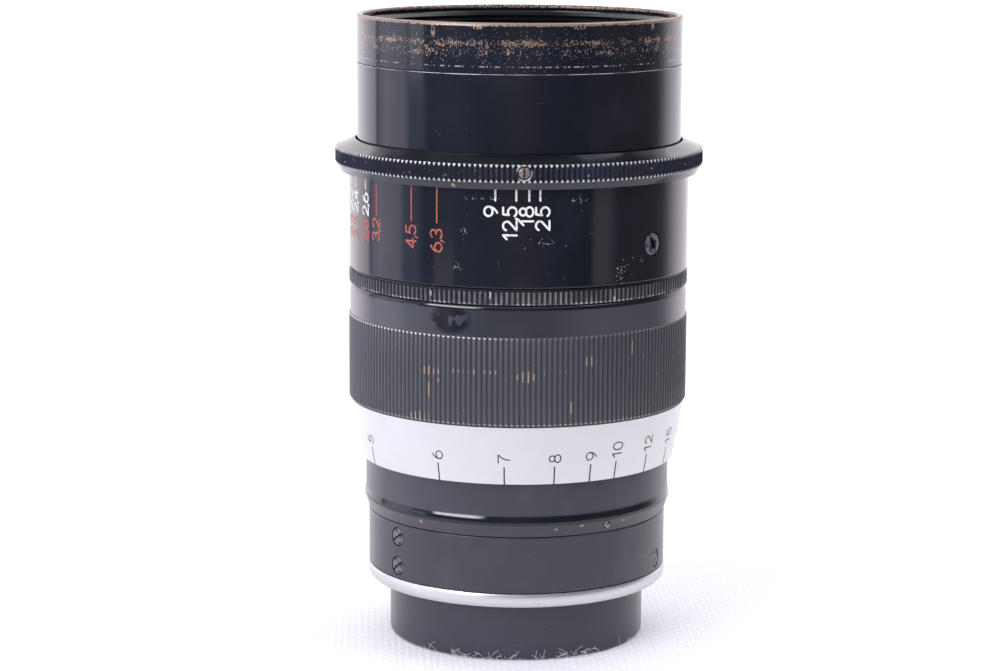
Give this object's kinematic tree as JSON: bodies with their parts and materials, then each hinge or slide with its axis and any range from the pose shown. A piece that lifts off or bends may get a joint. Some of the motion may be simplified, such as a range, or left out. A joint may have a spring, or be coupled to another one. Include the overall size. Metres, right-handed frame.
{
  "type": "rangefinder portrait lens",
  "caption": "Vintage rangefinder portrait lens with a turning focusing mount, aperture ring, iris and rear cap.",
  "frame": {"origin": "on the optical axis, at the underside of the rear cap", "axes": "+Z along the optical axis towards the front of the lens, -Y towards the side with the aperture screw, +X to the right seen from -Y"},
  "size_m": [0.0584, 0.0584, 0.0996],
  "materials": {
    "gloss_black": "glossy blue-black lacquer, worn through at the edges",
    "worn_black": "semi-matte black lacquer with brass showing at the wear points",
    "cap_black": "matte purple-black moulding",
    "satin_chrome": "satin chrome with small nicks",
    "bright_steel": "plain steel screws, slots worn",
    "brass": "turned brass",
    "inner_black": "matte black inside the lens",
    "blade_steel": "blackened spring steel",
    "glass": "clear uncoated optical glass"
  },
  "bodies": {
    "mount": {"flange_mount": "satin_chrome", "mount_collar": "worn_black", "fixed_helicoid": "brass", "guide_key": "brass", "guide_key_screw": "bright_steel", "collar_screw_1": "bright_steel", "collar_screw_2": "bright_steel", "collar_screw_3": "bright_steel", "cam_guide_screw": "bright_steel"},
    "cap": {"rear_cap": "cap_black"},
    "cam": {"rangefinder_cam": "brass"},
    "barrel": {"sliding_barrel": "worn_black", "barrel_set_screw": "brass"},
    "focus_head": {"barrel_retaining_ring": "brass", "distance_scale_ring": "satin_chrome", "inner_helicoid": "brass", "focusing_ring": "worn_black", "head_lock_ring": "gloss_black", "body_barrel": "gloss_black", "body_screw": "bright_steel", "iris_housing": "inner_black", "front_barrel": "gloss_black", "filter_ring": "gloss_black", "front_element": "glass", "middle_crown_element": "glass", "middle_flint_element": "glass", "rear_element": "glass", "front_cell": "inner_black", "front_retaining_ring": "inner_black", "middle_cell": "inner_black", "middle_retaining_ring": "inner_black", "rear_cell": "inner_black", "rear_retaining_ring": "inner_black", "iris_base_plate": "inner_black"},
    "aperture": {"aperture_ring": "gloss_black", "aperture_ring_screw": "bright_steel", "iris_drive_ring": "inner_black"},
    "blade_01": {"iris_blade_01": "blade_steel"},
    "blade_02": {"iris_blade_02": "blade_steel"},
    "blade_03": {"iris_blade_03": "blade_steel"},
    "blade_04": {"iris_blade_04": "blade_steel"},
    "blade_05": {"iris_blade_05": "blade_steel"},
    "blade_06": {"iris_blade_06": "blade_steel"},
    "blade_07": {"iris_blade_07": "blade_steel"},
    "blade_08": {"iris_blade_08": "blade_steel"},
    "blade_09": {"iris_blade_09": "blade_steel"},
    "blade_10": {"iris_blade_10": "blade_steel"},
    "blade_11": {"iris_blade_11": "blade_steel"},
    "blade_12": {"iris_blade_12": "blade_steel"}
  },
  "joints": [
    {"name": "cap_unscrew", "type": "slide", "parent": "mount", "child": "cap", "axis": [0, 0, -1], "range_m": [0, 0.012]},
    {"name": "cam_slide", "type": "slide", "parent": "mount", "child": "cam", "axis": [0, 0, 1], "range_m": [0, 0.003]},
    {"name": "barrel_slide", "type": "slide", "parent": "mount", "child": "barrel", "axis": [0, 0, 1], "range_m": [0, 0.0101]},
    {"name": "focus_turn", "type": "hinge", "parent": "barrel", "child": "focus_head", "pos_m": [0, 0, 0.045], "axis": [0, 0, 1], "range_deg": [0, 310]},
    {"name": "aperture_turn", "type": "hinge", "parent": "focus_head", "child": "aperture", "pos_m": [0, 0, 0.0775], "axis": [0, 0, 1], "range_deg": [-57, 27]},
    {"name": "iris_blade_01_pivot", "type": "hinge", "parent": "focus_head", "child": "blade_01", "pos_m": [0.02163, 0, 0.0735], "axis": [0, 0, 1], "range_deg": [-28.6, 13.6]},
    {"name": "iris_blade_02_pivot", "type": "hinge", "parent": "focus_head", "child": "blade_02", "pos_m": [0.01873, 0.01081, 0.0735], "axis": [0, 0, 1], "range_deg": [-28.6, 13.6]},
    {"name": "iris_blade_03_pivot", "type": "hinge", "parent": "focus_head", "child": "blade_03", "pos_m": [0.01081, 0.01873, 0.0735], "axis": [0, 0, 1], "range_deg": [-28.6, 13.6]},
    {"name": "iris_blade_04_pivot", "type": "hinge", "parent": "focus_head", "child": "blade_04", "pos_m": [0, 0.02163, 0.0735], "axis": [0, 0, 1], "range_deg": [-28.6, 13.6]},
    {"name": "iris_blade_05_pivot", "type": "hinge", "parent": "focus_head", "child": "blade_05", "pos_m": [-0.01081, 0.01873, 0.0735], "axis": [0, 0, 1], "range_deg": [-28.6, 13.6]},
    {"name": "iris_blade_06_pivot", "type": "hinge", "parent": "focus_head", "child": "blade_06", "pos_m": [-0.01873, 0.01081, 0.0735], "axis": [0, 0, 1], "range_deg": [-28.6, 13.6]},
    {"name": "iris_blade_07_pivot", "type": "hinge", "parent": "focus_head", "child": "blade_07", "pos_m": [-0.02163, 0, 0.0735], "axis": [0, 0, 1], "range_deg": [-28.6, 13.6]},
    {"name": "iris_blade_08_pivot", "type": "hinge", "parent": "focus_head", "child": "blade_08", "pos_m": [-0.01873, -0.01081, 0.0735], "axis": [0, 0, 1], "range_deg": [-28.6, 13.6]},
    {"name": "iris_blade_09_pivot", "type": "hinge", "parent": "focus_head", "child": "blade_09", "pos_m": [-0.01081, -0.01873, 0.0735], "axis": [0, 0, 1], "range_deg": [-28.6, 13.6]},
    {"name": "iris_blade_10_pivot", "type": "hinge", "parent": "focus_head", "child": "blade_10", "pos_m": [0, -0.02163, 0.0735], "axis": [0, 0, 1], "range_deg": [-28.6, 13.6]},
    {"name": "iris_blade_11_pivot", "type": "hinge", "parent": "focus_head", "child": "blade_11", "pos_m": [0.01081, -0.01873, 0.0735], "axis": [0, 0, 1], "range_deg": [-28.6, 13.6]},
    {"name": "iris_blade_12_pivot", "type": "hinge", "parent": "focus_head", "child": "blade_12", "pos_m": [0.01873, -0.01081, 0.0735], "axis": [0, 0, 1], "range_deg": [-28.6, 13.6]}
  ],
  "couplings": [
    {"joint": "barrel_slide", "follows": "focus_turn", "m_per_rad": 0.001846},
    {"joint": "cam_slide", "follows": "focus_turn", "m_per_rad": 0.000547},
    {"joint": "iris_blade_01_pivot", "follows": "aperture_turn", "ratio": 0.5},
    {"joint": "iris_blade_02_pivot", "follows": "aperture_turn", "ratio": 0.5},
    {"joint": "iris_blade_03_pivot", "follows": "aperture_turn", "ratio": 0.5},
    {"joint": "iris_blade_04_pivot", "follows": "aperture_turn", "ratio": 0.5},
    {"joint": "iris_blade_05_pivot", "follows": "aperture_turn", "ratio": 0.5},
    {"joint": "iris_blade_06_pivot", "follows": "aperture_turn", "ratio": 0.5},
    {"joint": "iris_blade_07_pivot", "follows": "aperture_turn", "ratio": 0.5},
    {"joint": "iris_blade_08_pivot", "follows": "aperture_turn", "ratio": 0.5},
    {"joint": "iris_blade_09_pivot", "follows": "aperture_turn", "ratio": 0.5},
    {"joint": "iris_blade_10_pivot", "follows": "aperture_turn", "ratio": 0.5},
    {"joint": "iris_blade_11_pivot", "follows": "aperture_turn", "ratio": 0.5},
    {"joint": "iris_blade_12_pivot", "follows": "aperture_turn", "ratio": 0.5}
  ]
}
